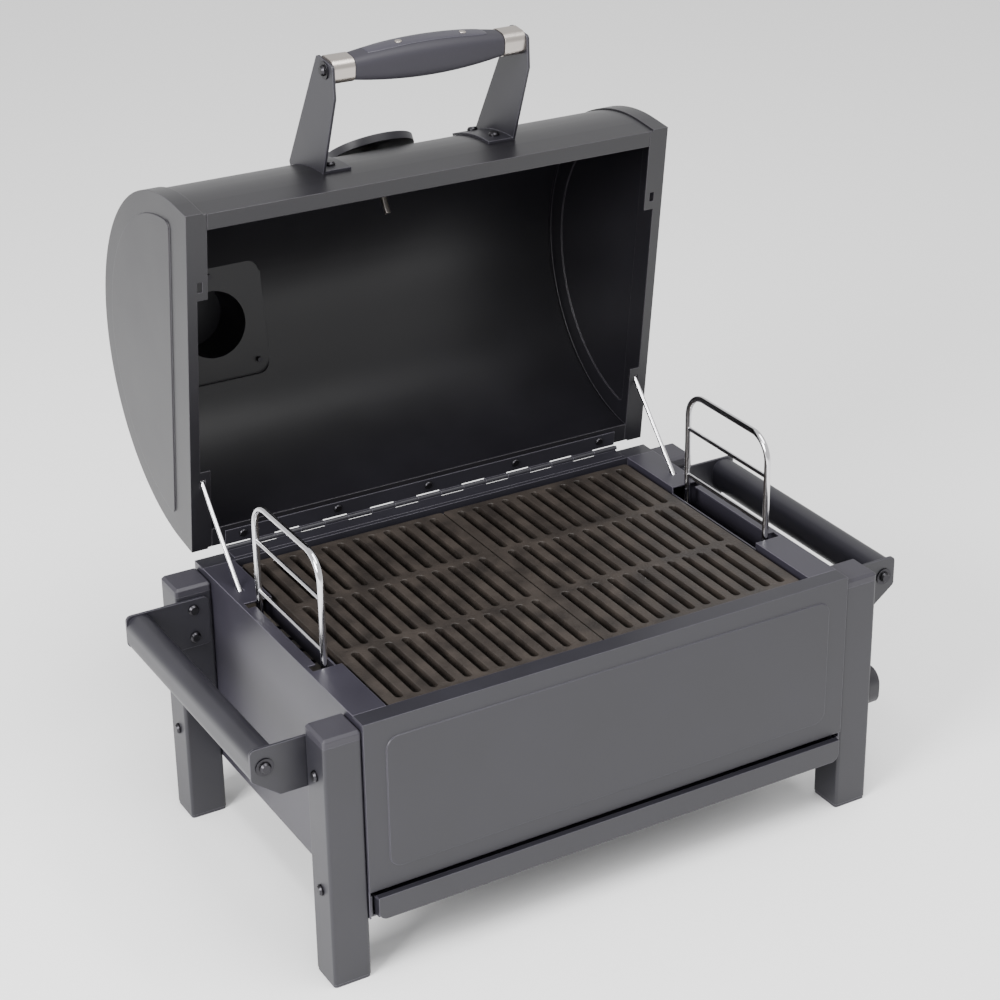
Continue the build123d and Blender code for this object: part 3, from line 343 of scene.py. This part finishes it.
# %% [markdown]
# ## Inlay and rivets
# A harder strip is let into the grip's upper face and held by two rivets. The strip follows the swell of
# the grip and stands 0.6 mm proud with a rolled edge. Both are one closed form: rings that start under
# the surface, go out to the outline, rise over the edge and close on top.

# %% Inlay and rivet surfaces


def pad_rings(centre, half_length, half_across, power, proud, around=64):
    """Scaled superellipse outlines; each ring's height is the grip's surface plus a buried, edge or top value."""
    scale = np.array([0.02, 0.6, 0.97, 1.0, 1.0, 0.985, 0.95, 0.6, 0.3, 0.02])[:, None]
    lift = np.array([-1.5 * mm] * 3 + [-1.2 * mm, 0.4 * proud, 0.8 * proud, proud, proud, proud, proud])[:, None]
    turn = np.linspace(0.0, 2.0 * np.pi, around, endpoint=False)[None, :]
    outline_x, outline_y = superellipse(turn, power)
    out = centre + scale * half_length * outline_x
    over = scale * half_across * outline_y
    wide, thick = grip_halves(out / grip_half.x)
    surface = thick * (1.0 - np.abs(over / wide) ** section_power) ** (1.0 / section_power)
    return in_grip(out, over, surface + lift)


strip = moulded_plastic("moulded_nylon_inlay", "#2c2a33", roughness=0.42, grain=1100.0, radius=0.3 * mm)
inlay = add_surface("grip_inlay", pad_rings(0.0, 0.8 * grip_half.x, 0.5 * half_wide, 6.0, 0.6 * mm), True, strip)
rivet_radius, rivet_proud = 3.2 * mm, 1.1 * mm
rivets = []
for side, share in (("left", -0.36), ("right", 0.5)):
    dome = pad_rings(share * grip_half.x, rivet_radius, rivet_radius, 2.0, rivet_proud)
    rivets.append(add_surface(f"grip_rivet_{side}", dome, True, stainless))
for piece, slot in ((inlay, "grip_rubber"), (rivets[0], "brushed_stainless"), (rivets[1], "brushed_stainless")):
    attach(piece, "lid")
print("inlay and rivets:", [len(piece.data.polygons) for piece in (inlay, *rivets)])

# %% [markdown]
# ## Stage, light and camera
# A pale table and a white room give the soft, even light of a studio. One large lamp from the front left
# lights the side panel and the shelves, and one from above gives the long highlight inside the lid.

# %% Stage
floor_material, _, floor_shader = new_material("pale_table")
floor_shader.inputs["Base Color"].default_value = colour("#ffffff")
floor_shader.inputs["Roughness"].default_value = 0.9
floor_mesh = bpy.data.meshes.new("floor")
floor_mesh.from_pydata([(-9, -9, 0), (9, -9, 0), (9, 9, 0), (-9, 9, 0)], [], [(0, 1, 2, 3)])
floor = bpy.data.objects.new("floor", floor_mesh)
floor_mesh.materials.append(floor_material)
bpy.context.collection.objects.link(floor)

# %% Light


def soft_lamp(name, place, aim, size, power):
    """A square area lamp at place that faces aim."""
    lamp = bpy.data.lights.new(name, "AREA")
    lamp.shape = "SQUARE"
    lamp.size = size
    lamp.energy = power
    item = bpy.data.objects.new(name, lamp)
    facing = (Vector(aim) - Vector(place)).to_track_quat("-Z", "Y").to_matrix().to_4x4()
    item.matrix_world = Matrix.Translation(place) @ facing
    bpy.context.collection.objects.link(item)
    return item


world = bpy.data.worlds.new("white_room")
bpy.context.scene.world = world
world.use_nodes = True
world.node_tree.nodes["Background"].inputs["Color"].default_value = (1, 1, 1, 1)
world.node_tree.nodes["Background"].inputs["Strength"].default_value = 1.0
soft_lamp("left_key", (-2.4, -1.0, 1.5), (0, -0.1, 0.2), 1.2, 120)
soft_lamp("top_fill", (0.1, -0.7, 2.6), (0, 0, 0.3), 1.6, 70)

# %% Camera
# The camera stands off from the middle of the body, which the front and back panels give.
body_middle = (Vector(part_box("firebox_front_panel")[0]) + Vector(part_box("firebox_back_panel")[1])) / 2
right = Vector((0.8534, -0.5213, -0.0013))
up = Vector((0.2120, 0.3448, 0.9144))
back = Vector((-0.4762, -0.7807, 0.4047))
camera_data = bpy.data.cameras.new("camera")
camera_data.lens = 86.3
camera_data.sensor_width = 36.0
camera_data.shift_x = -0.0723
camera_data.shift_y = -0.0855
camera_data.clip_end = 50.0
camera = bpy.data.objects.new("camera", camera_data)
place = Vector((-0.9676, body_middle.y - 1.6797, 1.2583))
turn = Matrix((right, up, back)).transposed().to_4x4()
camera.matrix_world = Matrix.Translation(place) @ turn
bpy.context.collection.objects.link(camera)
bpy.context.scene.camera = camera
print("camera at", tuple(round(v, 3) for v in place))
